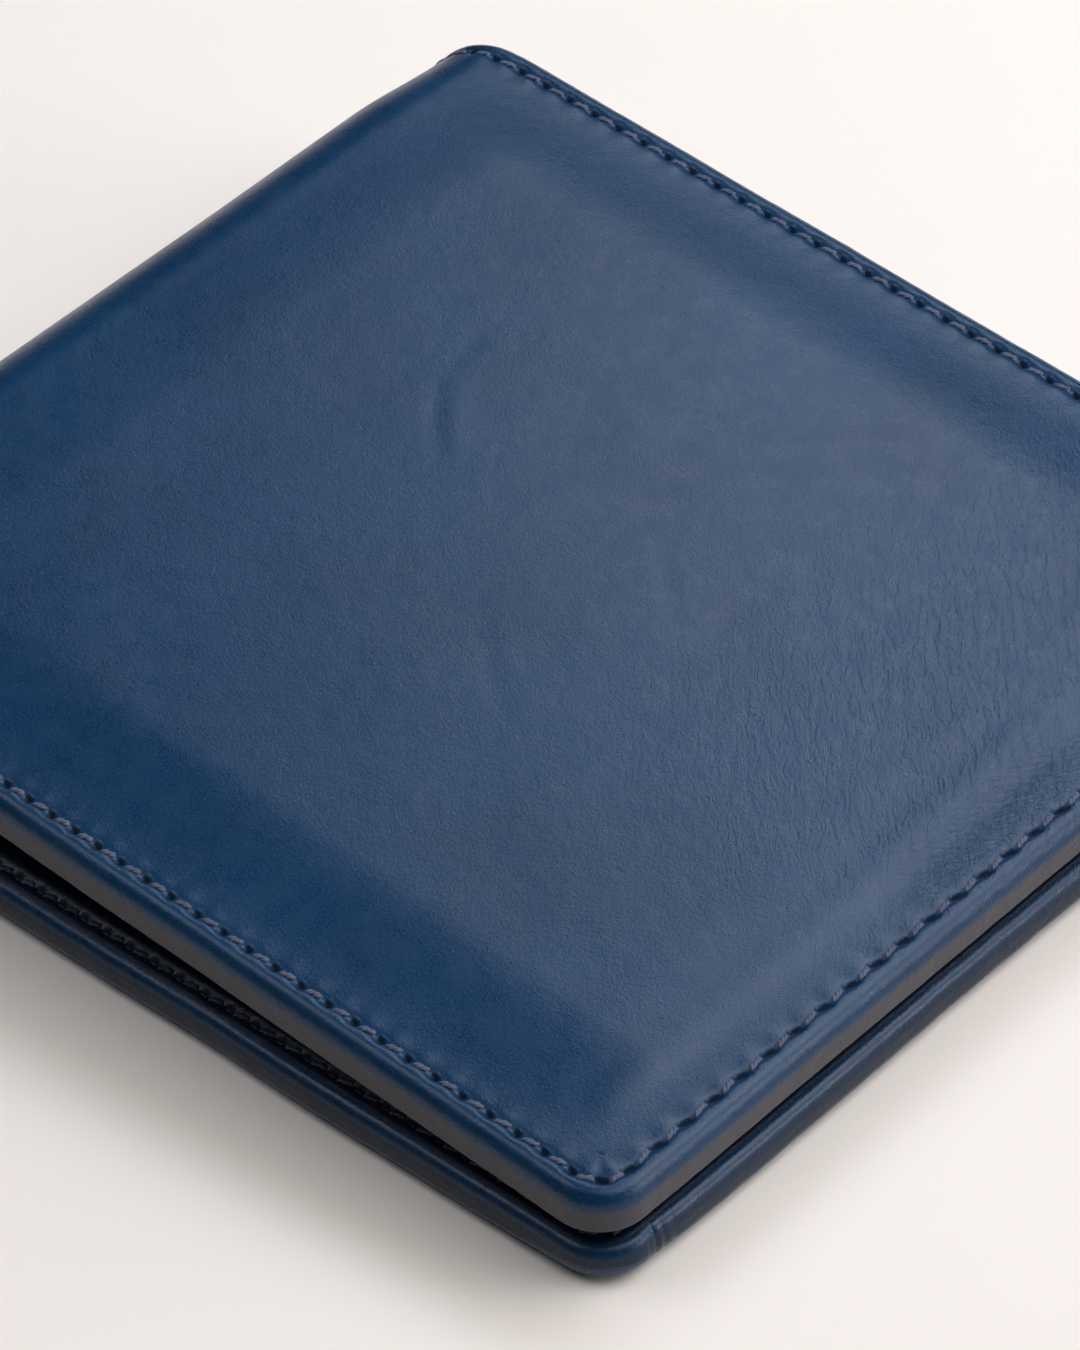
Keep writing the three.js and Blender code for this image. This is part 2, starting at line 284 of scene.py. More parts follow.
def hole_positions(path, seed):
    """Lengths along the row where the needle went through, counted from the front corner."""
    rng = random.Random(seed)
    first_corner, last_corner = path.corner_u
    arc = (CORNER_RADIUS - STITCH_INSET) * math.pi / 2
    middle = first_corner + arc / 2
    holes, u = [middle], middle
    while u > ROW_END:
        if u > first_corner:
            u -= CORNER_PITCH
        elif u > NEAR_SPINE:
            u -= SIDE_PITCH
        else:
            u -= SPINE_PITCH
        holes.insert(0, u + rng.uniform(-HOLE_SCATTER, HOLE_SCATTER))
    u = middle
    while u < path.u[-1] - ROW_END:
        if u < first_corner + arc:
            u += CORNER_PITCH
        elif u < last_corner:
            u += OPEN_PITCH
        else:
            u += TOP_PITCH
        holes.append(u + rng.uniform(-HOLE_SCATTER, HOLE_SCATTER))
    return np.array([h for h in holes if 0.3 < h < path.u[-1] - 0.3])


def slit_mask(path, out, holes):
    """1 in the needle holes, which are slits at a slant along the open edge and short elsewhere."""
    u = path.u
    nearest = holes[np.argmin(np.abs(u[:, None] - holes[None, :]), 1)]
    a = u - nearest
    long_ones = smooth(0, 2, nearest - path.corner_u[0]) * smooth(0, 2, path.corner_u[1] - nearest)
    length = 0.36 + 0.24 * long_ones
    width = 0.25 - 0.03 * long_ones
    c, q = math.cos(SLIT_SLANT), math.sin(SLIT_SLANT)
    p = a * c + out * q
    r = out * c - a * q
    return np.exp(-((p / length) ** 4) - (r / width) ** 2)


# ---- relief of the cover

PAD_RISE = 1.1  # of the padded middle above the stitched margin
SPINE_RISE = 0.5
DOME = 0.4
RIDGE = 0.27
GROOVE = 0.16
BEAD = 0.12
HOLE_DEPTH = 0.5
BEAD_INSET = 1.0
BEAD_WIDTH = 0.6
ROLL_RADIUS = 1.6  # of the turn of the leather round the edge, on its outer side


def cover_relief(name, s, y):
    """Depth of the outer face: a raised middle inside a flat stitched margin, and soft waves."""
    d = edge_distance(s, y)
    open_d = LEAF_LENGTH - s
    loose = smooth(4.5, 14, d)
    waves = 0.07 * field(s, y, 34, 3.1) + 0.028 * field(s, y, 9, 7.7)
    if name == "lower":
        return MARGIN_DEPTH * (1 - smooth(2.6, 10, d)) + loose * (0.06 + 0.5 * np.abs(waves))
    on_leaf = smooth(-4, 12, s)
    pad = smooth(2.6, 15, open_d) * smooth(2.6, 15, HALF_HEIGHT - np.abs(y))
    depth = MARGIN_DEPTH - (SPINE_RISE + (PAD_RISE - SPINE_RISE) * on_leaf) * pad
    across = np.clip((s + 2) / (LEAF_LENGTH + 2), 0, 1)
    dome = DOME * np.sin(math.pi * across) * np.cos(math.pi * y / 2 / HALF_HEIGHT) * on_leaf
    crest = 8.8 + 0.7 * np.sin(y / 17)
    ridge = RIDGE * (bump(open_d, crest, 1.7) - 0.6 * bump(open_d, crest - 2.6, 1.3))
    ridge = ridge * smooth(5, 15, HALF_HEIGHT - np.abs(y)) * (1 + 0.4 * np.sin(y / 9 + 1))
    dent = 0.08 * bump(open_d, 15.5, 4.0) * loose
    crease = crease_relief(s, y)
    return depth - dome - ridge + dent + loose * (waves + crease)


# s, y, half length, direction and depth of each crease.
CREASES = (
    (31.0, 7.0, 5.0, math.radians(-47), 0.05),
    (26.5, 16.0, 4.0, math.radians(-80), 0.03),
    (55.0, -12.0, 7.0, math.radians(-38), 0.02),
    (60.0, 5.0, 6.0, math.radians(140), 0.022),
    (70.0, 12.0, 8.0, math.radians(130), 0.024),
)


def crease_relief(s, y):
    """A few soft creases left by bending, each a shallow valley beside a low ridge."""
    total = np.zeros(np.shape(s))
    for cs, cy, length, turn, strength in CREASES:
        c, q = math.cos(turn), math.sin(turn)
        p = (s - cs) * c + (y - cy) * q
        r = (y - cy) * c - (s - cs) * q - 0.05 * p * p / length
        envelope = np.exp(-((p / length) ** 2))
        total += strength * envelope * (bump(r, 0.0, 0.9) - 0.7 * bump(r, 1.5, 1.1))
    return total


def margin_relief(path, d, out, holes):
    """The stitch groove, the raised bead outside it and the dimples of the needle holes."""
    groove = GROOVE * bump(d, STITCH_INSET, 0.45)
    bead = BEAD * bump(d, BEAD_INSET, BEAD_WIDTH)
    pull = 0.06 * bump(d, STITCH_INSET, 1.2)
    between = np.cos(2 * math.pi * hole_phase(path.u, holes))
    return groove - bead + pull * between + HOLE_DEPTH * slit_mask(path, out, holes)


def hole_phase(u, holes):
    """0 at each hole and 1 at the next."""
    return np.interp(u, holes, np.arange(len(holes))) % 1.0


# ---- the cover

# Insets of the rings of points from the edge, on the face and on the hem. They are closest
# together where the stitches sink in.
FACE_RINGS = (4.4, 4.0, 3.7, 3.4, 3.1, 2.86, 2.68, 2.54, 2.42, 2.3, 2.19, 2.08, 1.97, 1.86, 1.74,
              ROLL_RADIUS)
HEM_RINGS = (1.35, 1.6, 1.76, 1.9, 2.02, 2.14, 2.26, 2.4, 2.6, 2.85, 3.2)
HEM_SHARES = (0.3, 0.6, 0.85, 1.0)
# The rolled edge of each leaf: radius on the outer side, radius and reach on the inner side,
# and how far its outer side bulges.
EDGE_SHAPES = {"upper": (1.6, 0.4, 0.4, 0.0), "lower": (1.0, 1.5, 1.1, 0.22)}
TOP_EDGE_REACH = 0.75  # inner reach of the thin edge beside the bill compartment
OUTER_STEPS = 10
SIDE_STEPS = 5
INNER_STEPS = 7
# The hem's raw edge, tucked under: further inset and drop of its two rings.
TUCK = ((0.06, 0.12), (0.08, 0.48))
# Small gathers on the lower leaf's edge, just past the front corner: distance and depth.
GATHERS = ((1.3, 0.10), (2.0, 0.24), (2.9, 0.12), (4.1, 0.05))
GATHER_START = 3.4
GATHER_WIDTH = 0.24


def pinch(name, s, y, d):
    """How much the lower leaf's edge is pressed thinner than its hem further in."""
    if name == "upper":
        return 0.0 * d
    return (0.65 + 0.5 * smooth(20, -5, s)) * rim_share(s, y) * (1 - smooth(0.6, 3.6, d))


def roll_profile(name, path):
    """The rolled edge as steps of (outward reach, depth, normal's two parts, texture length)."""
    s, y = path.at(0.0)
    share = rim_share(s, y)
    thick = rim_thickness(s, y)
    first_corner = path.corner_u[0] + 1.5
    corner = bump(path.u, first_corner, 5.0)
    half = TOP_RIM_THICKNESS / 2
    outer, inner, inner_reach, bulge = EDGE_SHAPES[name]
    if name == "lower":
        outer = outer + 0.8 * corner
        bulge = bulge * (1 - corner)
    outer = half + (outer - half) * share
    inner = half + (inner - half) * share
    inner_reach = TOP_EDGE_REACH + (inner_reach - TOP_EDGE_REACH) * share
    bulge = bulge * share
    top = MARGIN_DEPTH
    end = MARGIN_DEPTH + thick - pinch(name, s, y, 0.3)
    zero = np.zeros(len(s))
    steps = []
    for k in range(1, OUTER_STEPS + 1):
        a = math.pi / 2 * k / OUTER_STEPS
        lift = bulge * math.sin(a)
        depth = top - lift + (outer + lift) * (1 - math.cos(a))
        reach = ROLL_RADIUS * math.sin(a) + zero
        steps.append((reach, depth, math.sin(a), -math.cos(a), ROLL_RADIUS * a))
    side_start, side_end = top + outer, end - inner
    for k in range(1, SIDE_STEPS):
        depth = side_start + (side_end - side_start) * k / SIDE_STEPS
        steps.append((ROLL_RADIUS + zero, depth, 1.0, 0.0, 2.5 + 2.0 * k / SIDE_STEPS))
    for k in range(INNER_STEPS + 1):
        a = math.pi / 2 * k / INNER_STEPS
        reach = ROLL_RADIUS - inner_reach * (1 - math.cos(a))
        steps.append((reach, side_end + inner * math.sin(a), math.cos(a), math.sin(a), 4.5 + 0.1 * k))
    return steps


class Skin:
    """Collects the cover's points, group by group, from its middle outwards."""

    def __init__(self):
        self.groups = []
        self.count = 0
        self.ring_starts = []

    def add(self, s, y, n, hole, layer):
        shape = np.shape(s)
        self.groups.append([np.broadcast_to(v, shape).ravel() for v in (s, y, n, hole, layer)])
        self.count += self.groups[-1][0].size

    def ring(self, s, y, n, hole, layer):
        self.ring_starts.append(self.count)
        self.add(s, y, n, hole, layer)

    def columns(self):
        return [np.concatenate(values) for values in zip(*self.groups)]


def add_margin(skin, name, path, holes):
    """The stitched margin of the face, ring by ring outwards."""
    for d in FACE_RINGS:
        s, y = path.at(d)
        out = STITCH_INSET - d + np.zeros(len(s))
        n = cover_relief(name, s, y) + margin_relief(path, d, out, holes)
        skin.ring(s, y, n, slit_mask(path, out, holes), 0.0)


def edge_wobble(name, path):
    """Unevenness of the rolled edge, and the lower leaf's gathers, along the path."""
    zero = 0 * path.u
    wobble = 0.045 * field(path.u, zero, 13, 5.0) + 0.02 * field(path.u, zero, 3.2, 9.0)
    gather = np.zeros(len(path.u))
    if name == "lower":
        wobble = wobble * 1.6 + 0.09 * field(path.u, zero, 24, 15.0)
        for centre, depth in GATHERS:
            gather += depth * bump(path.u, centre + path.corner_u[0] + GATHER_START, GATHER_WIDTH)
    return wobble, gather


def add_roll(skin, name, path):
    """The rolled edge, from the face to the hem."""
    s_b, y_b = path.at(ROLL_RADIUS)
    wobble, gather = edge_wobble(name, path)
    for reach, depth, out_n, in_n, length in roll_profile(name, path):
        swell = BEAD * bump(ROLL_RADIUS - reach, BEAD_INSET, BEAD_WIDTH) * max(0.0, -in_n)
        fine = 0.010 * out_n * field(path.u, length + 0 * path.u, 0.7, 21.0)
        push = swell + out_n * wobble - gather * out_n * (1.0 if in_n > -0.5 else 0.5) + fine
        outward = reach + push * out_n
        skin.ring(s_b + path.os * outward, y_b + path.oy * outward, depth + push * in_n, 0.0, length)


def add_hem(skin, name, path, holes):
    """The hem on the inner face, with the inner row's groove, and its tucked edge."""
    s_edge, y_edge = path.at(0.0)
    thick = rim_thickness(s_edge, y_edge)
    width = hem_width(s_edge, y_edge)
    droop = 1.5 * smooth(4, 38, y_edge) * rim_share(s_edge, y_edge)
    insets = [np.full(len(s_edge), d) for d in HEM_RINGS]
    insets += [HEM_RINGS[-1] + (width - HEM_RINGS[-1]) * share for share in HEM_SHARES]
    for d in insets:
        s, y = path.at(d)
        slit = slit_mask(path, STITCH_INSET - d, holes)
        dip = GROOVE * bump(d, STITCH_INSET, 0.45) + HOLE_DEPTH * 0.5 * slit
        sag = droop * smooth(2.7, 5.8, d)
        n = MARGIN_DEPTH + thick - pinch(name, s_edge, y_edge, d) - dip - sag
        skin.ring(s, y, n, slit, 6 + d)
    for inset_more, drop in TUCK:
        d = width + inset_more
        s, y = path.at(d)
        skin.ring(s, y, MARGIN_DEPTH + thick - droop - drop, 0.0, 6 + d)


def bridge(s_grid, y_grid, path, first):
    """Triangles from the border of the middle's grid to the first ring, at index first."""
    rows, columns = s_grid.shape
    border = list(range(columns))
    border += [i * columns + columns - 1 for i in range(1, rows)]
    border += [(rows - 1) * columns + j for j in range(columns - 2, -1, -1)]
    border = np.array(border)
    flat_s, flat_y = s_grid.ravel()[border], y_grid.ravel()[border]
    border_u = np.concatenate([[0], np.cumsum(np.hypot(np.diff(flat_s), np.diff(flat_y)))])
    # The ring's own lengths, with each corner's turn squeezed into one point.
    ring_u = np.concatenate([[0], np.cumsum(np.hypot(np.diff(path.cs), np.diff(path.cy)))])
    tris = []
    i = j = 0
    while i < len(border) - 1 or j < len(ring_u) - 1:
        border_done = i == len(border) - 1
        if border_done or (j < len(ring_u) - 1 and ring_u[j + 1] <= border_u[i + 1] + 1e-9):
            tris.append((border[i], first + j, first + j + 1))
            j += 1
        else:
            tris.append((border[i], first + j, border[i + 1]))
            i += 1
    return np.array(tris)


def cover_half(name, path, holes, interior_step):
    """One leaf's cover, from the middle of the spine to its open edge."""
    leaf = LEAVES[name]
    inner_x = LEAF_LENGTH - CORNER_RADIUS
    inner_y = HALF_HEIGHT - CORNER_RADIUS
    columns = spaced(spine_middle(leaf), inner_x, interior_step)
    rows = spaced(-inner_y, inner_y, interior_step)
    y_grid, s_grid = np.meshgrid(rows, columns, indexing="ij")
    skin = Skin()
    skin.add(s_grid, y_grid, cover_relief(name, s_grid, y_grid), 0.0, 0.0)
    add_margin(skin, name, path, holes)
    add_roll(skin, name, path)
    add_hem(skin, name, path, holes)

    quads = [grid_quads(len(rows), len(columns))]
    index = np.arange(len(path.u) - 1)
    for a, b in zip(skin.ring_starts, skin.ring_starts[1:]):
        quads.append(np.stack([a + index, b + index, b + index + 1, a + index + 1], -1))
    tris = bridge(s_grid, y_grid, path, skin.ring_starts[0])
    s, y, n, hole, layer = skin.columns()
    attributes = {"leather": np.stack([s, y, layer], -1), "hole": hole}
    return new_mesh("cover_leather_" + name, place(leaf, s, y, n), np.concatenate(quads), tris,
                    attributes, flip=name == "lower")


# ---- stitches

THREAD_HALF_WIDTH = 0.27
THREAD_HALF_HEIGHT = 0.17
TWIST_LENGTH = 1.5
AROUND = 12
LENGTHWISE = 17


def strands(name, leaf_name, centre_at, spans, rise, seed, shade=0.0):
    """One twisted two-ply strand for each span, merged into one mesh.
    centre_at(u, out) gives s, y and the depth of the surface; rise is +1 where the
    thread lies on the outer face and -1 on an inner one."""
    leaf = LEAVES[leaf_name]
    rng = random.Random(seed)
    t = np.linspace(0, 1, LENGTHWISE)
    psi = np.linspace(0, 2 * math.pi, AROUND, endpoint=False)
    points, info, quads = [], [], []
    count = 0
    for start, end in spans:
        lift = rng.uniform(-0.02, 0.03)
        lean = THREAD_SLANT * rng.uniform(0.85, 1.15)
        phase = rng.uniform(0, 2 * math.pi)
        u = start + (end - start) * t
        out = lean * (1 - 2 * t) * 0.9 + 0.015 * np.sin(9 * t + phase)
        edge = np.abs(2 * t - 1)
        dip = 0.6 * edge ** 6 + 0.06 * edge ** 2
        taper = 1 - 0.35 * edge ** 6
        twist = 2 * math.pi * t * (end - start) / TWIST_LENGTH + phase
        lobes = 1 + 0.15 * np.cos(2 * (psi[None, :] - twist[:, None]))
        side = THREAD_HALF_WIDTH * taper[:, None] * lobes * np.cos(psi)[None, :]
        height = THREAD_HALF_HEIGHT * taper[:, None] * lobes * np.sin(psi)[None, :]
        s, y, n = centre_at(u[:, None] + 0 * side, out[:, None] + side)
        centre_n = n - rise * (THREAD_HALF_HEIGHT * 0.55 + lift - dip[:, None])
        n = centre_n - rise * height
        points.append(place(leaf, s, y, n).reshape(-1, 3))
        along = np.broadcast_to((t * (end - start))[:, None], side.shape)
        round_it = np.broadcast_to(psi[None, :] / (2 * math.pi) * 1.5, side.shape)
        tone = np.full(side.shape, shade + rng.uniform(0, 1))
        info.append(np.stack([along, round_it, tone], -1).reshape(-1, 3))
        a = np.arange(LENGTHWISE - 1)[:, None] * AROUND + np.arange(AROUND)[None, :]
        b = np.arange(LENGTHWISE - 1)[:, None] * AROUND + (np.arange(AROUND)[None, :] + 1) % AROUND
        quads.append(count + np.stack([a, b, b + AROUND, a + AROUND], -1).reshape(-1, 4))
        count += LENGTHWISE * AROUND
    flip = (leaf_name == "lower") == (rise < 0)
    return new_mesh(name, np.concatenate(points), np.concatenate(quads), None,
                    {"strand": np.concatenate(info)}, flip=flip)


def spans_between(holes, share):
    gap = (1 - share) / 2
    return [(a + (b - a) * gap, b - (b - a) * gap) for a, b in zip(holes, holes[1:])]


def row_on_face(path):
    """Surface of the stitch groove on the outer face."""
    def centre(u, out):
        s, y, os, oy = path.along(u, STITCH_INSET)
        return s + os * out, y + oy * out, MARGIN_DEPTH + GROOVE * 0.8 + 0 * u
    return centre


def row_on_hem(name, path):
    """Surface of the stitch groove on the hem's inner face."""
    def centre(u, out):
        s, y, os, oy = path.along(u, STITCH_INSET)
        s_edge, y_edge = s + os * STITCH_INSET, y + oy * STITCH_INSET
        thick = rim_thickness(s_edge, y_edge) - pinch(name, s_edge, y_edge, STITCH_INSET)
        return s + os * out, y + oy * out, MARGIN_DEPTH + thick - GROOVE * 0.8
    return centre


def stack_level(y):
    """Depth of the topmost panel's face at y, for the seam that closes the pockets."""
    levels = np.full(np.shape(y), WALL_DEPTHS[1])
    for mouth, depths in zip(CARD_MOUTHS, POCKET_DEPTHS):
        levels = levels + (depths[1] - levels) * (1 - smooth(mouth - 0.1, mouth + 0.2, y))
    return levels


def row_on_panels(u, out):
    return SEAM_X + out, u + 0 * out, stack_level(u)


# ---- thin sheets


def lines_with_edges(start, stop, step, marks=()):
    """Grid lines with close pairs at both ends and at each mark, for rounded edges."""
    near = 0.07
    values = set(np.round(spaced(start, stop, step), 4))
    for mark in (start, stop, *marks):
        values = {v for v in values if abs(v - mark) > 3 * near}
        values.add(round(mark, 4))
        for side in (-1, 1):
            for k in (1, 2.2):
                v = mark + side * near * k
                if start < v < stop:
                    values.add(round(v, 4))
    return np.array(sorted(values))


def thin_sheet(name, leaf_name, xs, ys, inside, depths, lift, mouth_y, tag):
    """A closed sheet over the grid cells whose middles are inside, with rounded edges."""
    leaf = LEAVES[leaf_name]
    x, y = np.meshgrid(xs, ys, indexing="ij")
    mx, my = np.meshgrid((xs[1:] + xs[:-1]) / 2, (ys[1:] + ys[:-1]) / 2, indexing="ij")
    cells = inside(mx, my)
    padded = np.zeros((len(xs) + 1, len(ys) + 1), bool)
    padded[1:-1, 1:-1] = cells
    around = np.stack([padded[:-1, :-1], padded[1:, :-1], padded[:-1, 1:], padded[1:, 1:]])
    used, edge = around.any(0), ~around.all(0)
    thick = depths[1] - depths[0]
    wave = lift(x, y)
    squeeze = np.where(edge, 0.36 * thick, 0.0)
    ids = -np.ones(x.shape, int)
    ids[used] = np.arange(used.sum())
    total = int(used.sum())
    s_all = np.concatenate([x[used], x[used]])
    y_all = np.concatenate([y[used], y[used]])
    n_all = np.concatenate([(depths[1] + wave - squeeze)[used], (depths[0] + wave + squeeze)[used]])
    ci, cj = np.nonzero(cells)
    face = np.stack([ids[ci, cj], ids[ci + 1, cj], ids[ci + 1, cj + 1], ids[ci, cj + 1]], -1)
    quads = [face, face[:, ::-1] + total]
    for di, dj, a, b in ((-1, 0, 3, 0), (1, 0, 1, 2), (0, -1, 0, 1), (0, 1, 2, 3)):
        bare = ~padded[ci + 1 + di, cj + 1 + dj]
        p, q = face[bare, a], face[bare, b]
        quads.append(np.stack([q, p, p + total, q + total], -1))
    mouth = np.minimum(mouth_y - y_all, 30) if mouth_y is not None else np.full(len(y_all), 30.0)
    layer = np.full(len(s_all), float(tag))
    attributes = {"leather": np.stack([s_all, y_all, layer], -1), "mouth": mouth}
    return new_mesh(name, place(leaf, s_all, y_all, n_all), np.concatenate(quads), None, attributes,
                    flip=leaf_name == "upper")


def panel_wave(seed):
    """One gentle wave shared by every panel of a leaf, so that they stay clear of each other."""
    def wave(x, y):
        free = smooth(2, 12, PANEL_END - x) * smooth(0, 8, x - PANEL_START)
        free = free * smooth(2, 10, y - PANEL_BOTTOM)
        return free * (0.09 * field(x, y, 26, seed) + 0.03 * field(x, y, 8, seed + 4))
    return wave


def rounded_ends(x0, x1, y0, y1, radius):
    """Inside test of a rectangle whose two corners on the open-edge side are round."""
    def inside(x, y):
        qx, qy = x - (x1 - radius), np.abs(y - (y0 + y1) / 2) - ((y1 - y0) / 2 - radius)
        box = (x > x0) & (x < x1) & (y > y0) & (y < y1)
        corner = (qx > 0) & (qy > 0)
        return box & (~corner | (np.hypot(qx, qy) < radius))
    return inside


# ---- materials


class Nodes:
    """Short forms for building a node material."""

    def __init__(self, name):
        self.material = bpy.data.materials.new(name)
        self.material.use_nodes = True
        self.tree = self.material.node_tree
        self.tree.nodes.clear()
        self.output = self.tree.nodes.new("ShaderNodeOutputMaterial")
        self.shader = self.tree.nodes.new("ShaderNodeBsdfPrincipled")
        self.tree.links.new(self.shader.outputs[0], self.output.inputs["Surface"])

    def link(self, source, target):
        self.tree.links.new(source, target)

    def attribute(self, name, output="Vector"):
        node = self.tree.nodes.new("ShaderNodeAttribute")
        node.attribute_name = name
        return node.outputs[output]

    def mapping(self, vector, scale=(1, 1, 1), turn=0.0):
        node = self.tree.nodes.new("ShaderNodeMapping")
        node.inputs["Scale"].default_value = scale
        node.inputs["Rotation"].default_value = (0, 0, turn)
        self.link(vector, node.inputs["Vector"])
        return node.outputs[0]

    def stretched(self, vector, length, width, turn):
        """Coordinates in which a unit is the given length along a turned axis and width across."""
        node = self.tree.nodes.new("ShaderNodeMapping")
        node.vector_type = "TEXTURE"
        node.inputs["Scale"].default_value = (length, width, 1)
        node.inputs["Rotation"].default_value = (0, 0, turn)
        self.link(vector, node.inputs["Vector"])
        return node.outputs[0]

    def noise(self, vector, scale, detail=2.0, rough=0.5, distortion=0.0):
        node = self.tree.nodes.new("ShaderNodeTexNoise")
        node.inputs["Scale"].default_value = scale
        node.inputs["Detail"].default_value = detail
        node.inputs["Roughness"].default_value = rough
        node.inputs["Distortion"].default_value = distortion
        self.link(vector, node.inputs["Vector"])
        return node.outputs["Fac"]

    def pebbles(self, vector, scale, smoothness):
        node = self.tree.nodes.new("ShaderNodeTexVoronoi")
        node.feature = "SMOOTH_F1"
        node.inputs["Scale"].default_value = scale
        node.inputs["Smoothness"].default_value = smoothness
        self.link(vector, node.inputs["Vector"])
        return node.outputs["Distance"]

    def remap(self, value, low, high, to_low=0.0, to_high=1.0):
        node = self.tree.nodes.new("ShaderNodeMapRange")
        node.interpolation_type = "SMOOTHSTEP"
        node.inputs["From Min"].default_value = low
        node.inputs["From Max"].default_value = high
        node.inputs["To Min"].default_value = to_low
        node.inputs["To Max"].default_value = to_high
        self.link(value, node.inputs["Value"])
        return node.outputs["Result"]

    def math(self, operation, a, b=None):
        node = self.tree.nodes.new("ShaderNodeMath")
        node.operation = operation
        for socket, value in zip(node.inputs, (a, b)):
            if value is None:
                continue
            if isinstance(value, (int, float)):
                socket.default_value = value
            else:
                self.link(value, socket)
        return node.outputs[0]

    def split(self, vector):
        node = self.tree.nodes.new("ShaderNodeSeparateXYZ")
        self.link(vector, node.inputs[0])
        return node.outputs

    def mix(self, factor, a, b):
        node = self.tree.nodes.new("ShaderNodeMix")
        node.data_type = "RGBA"
        sockets = {s.identifier: s for s in node.inputs}
        for key, value in (("Factor_Float", factor), ("A_Color", a), ("B_Color", b)):
            if isinstance(value, tuple):
                sockets[key].default_value = (*value, 1)
            elif isinstance(value, (int, float)):
                sockets[key].default_value = value
            else:
                self.link(value, sockets[key])
        return [o for o in node.outputs if o.identifier == "Result_Color"][0]

    def bump(self, height, distance, normal=None):
        """Relief with a given height in millimetres."""
        node = self.tree.nodes.new("ShaderNodeBump")
        node.inputs["Strength"].default_value = 1.0
        node.inputs["Distance"].default_value = distance * MM
        self.link(height, node.inputs["Height"])
        if normal is not None:
            self.link(normal, node.inputs["Normal"])
        return node.outputs[0]

    def set(self, **values):
        for key, value in values.items():
            socket = self.shader.inputs[key.replace("_", " ")]
            if isinstance(value, (int, float)):
                socket.default_value = value
            elif isinstance(value, tuple):
                socket.default_value = (*value, 1)
            else:
                self.link(value, socket)


ROUGH_LOW = 0.27
ROUGH_HIGH = 0.34
WRINKLE_TURN = math.radians(132)
CRINKLE_TURN = math.radians(60)


def cover_material(name, painted_reflection_colour, side_end):
    """The waxed leather; side_end is the layer value where the flat side of the edge, which carries a
    painted reflection, ends.
    """
    m = Nodes(name)
    where = m.attribute("leather")
    hole = m.attribute("hole", "Fac")
    s, y, layer = m.split(where)
    # Mottling of the dye, from large clouds down to single pores. The lightest fine specks are partly
    # the dye's own tone and partly painted glints off the grain.
    clouds = m.noise(where, 0.045, 3.0, 0.55)
    patches = m.noise(where, 0.33, 3.0, 0.6)
    fine = m.noise(where, 4.2, 2.0, 0.65)
    base = m.mix(m.remap(clouds, 0.35, 0.65), (0.0011, 0.0235, 0.064), (0.0020, 0.0290, 0.077))
    base = m.mix(m.remap(patches, 0.4, 0.75, 0, 0.3), base, (0.0036, 0.0360, 0.092))
    base = m.mix(m.remap(fine, 0.5, 0.72, 0, 0.7), base, (0.0100, 0.0500, 0.114))
    # The flat side of the rolled edge gets a painted reflection of the floor it faces: pale in front
    # of the upper leaf, in shade under the lower one.
    side = m.remap(layer, side_end, side_end + 0.5, 1.0, 0.0)
    side = m.math("MULTIPLY", m.remap(layer, 2.2, 2.8), side)
    base = m.mix(m.math("MULTIPLY", side, 0.8), base, painted_reflection_colour)
    # Painted shade: the inner side and the hem are darker, as in the gap between the leaves, and the
    # needle holes are painted nearly black.
    base = m.mix(m.remap(layer, 4.6, 6.4, 0, 0.85), base, (0.0060, 0.0070, 0.017))
    base = m.mix(hole, base, (0.0008, 0.0012, 0.0025))
    # Rubbed leather is a little smoother.
    rough = m.remap(patches, 0.3, 0.7, ROUGH_LOW, ROUGH_HIGH)
    rough = m.math("ADD", rough, m.remap(fine, 0.35, 0.75, -0.03, 0.07))
    rough = m.math("ADD", rough, m.remap(hole, 0.0, 1.0, 0.0, 0.4))
    # Relief: slow waves, a pebbled grain, pores, and short wrinkles towards the open edge.
    waves = m.bump(m.noise(where, 0.5, 2.0, 0.5), 0.035)
    pebble = m.pebbles(where, 3.6, 0.6)
    pebbled = m.bump(pebble, 0.009, waves)
    grain = m.bump(m.noise(where, 4.6, 3.0, 0.68), 0.026, pebbled)
    wrinkle = m.noise(m.stretched(where, 2.3, 0.75, WRINKLE_TURN), 1.0, 3.0, 0.6, 1.0)
    reach = m.math("MULTIPLY", m.remap(s, 55, 84), m.remap(y, -30, 6))
    wrinkle = m.math("MULTIPLY", wrinkle, reach)
    wrinkled = m.bump(wrinkle, 0.085, grain)
    # A rubbed, crinkled patch beside the open edge, where the finish sparkles.
    patch = m.math("MULTIPLY", m.remap(s, 91, 97), m.remap(s, 99.2, 100.2, 1.0, 0.0))
    patch = m.math("MULTIPLY", patch, m.remap(y, -14, -2))
    patch = m.math("MULTIPLY", patch, m.remap(y, 10, 20, 1.0, 0.0))
    crinkle = m.noise(m.stretched(where, 1.2, 0.4, CRINKLE_TURN), 1.0, 3.0, 0.7, 1.5)
    crinkle = m.math("MULTIPLY", crinkle, patch)
    wrinkled = m.bump(crinkle, 0.09, wrinkled)
    rough = m.math("SUBTRACT", rough, m.math("MULTIPLY", patch, 0.05))
    m.set(Base_Color=base, Roughness=rough, Normal=wrinkled, Specular_IOR_Level=0.31)
    return m.material


MOUTH_CREASE = 1.6  # distance of the pressed line from a pocket's mouth


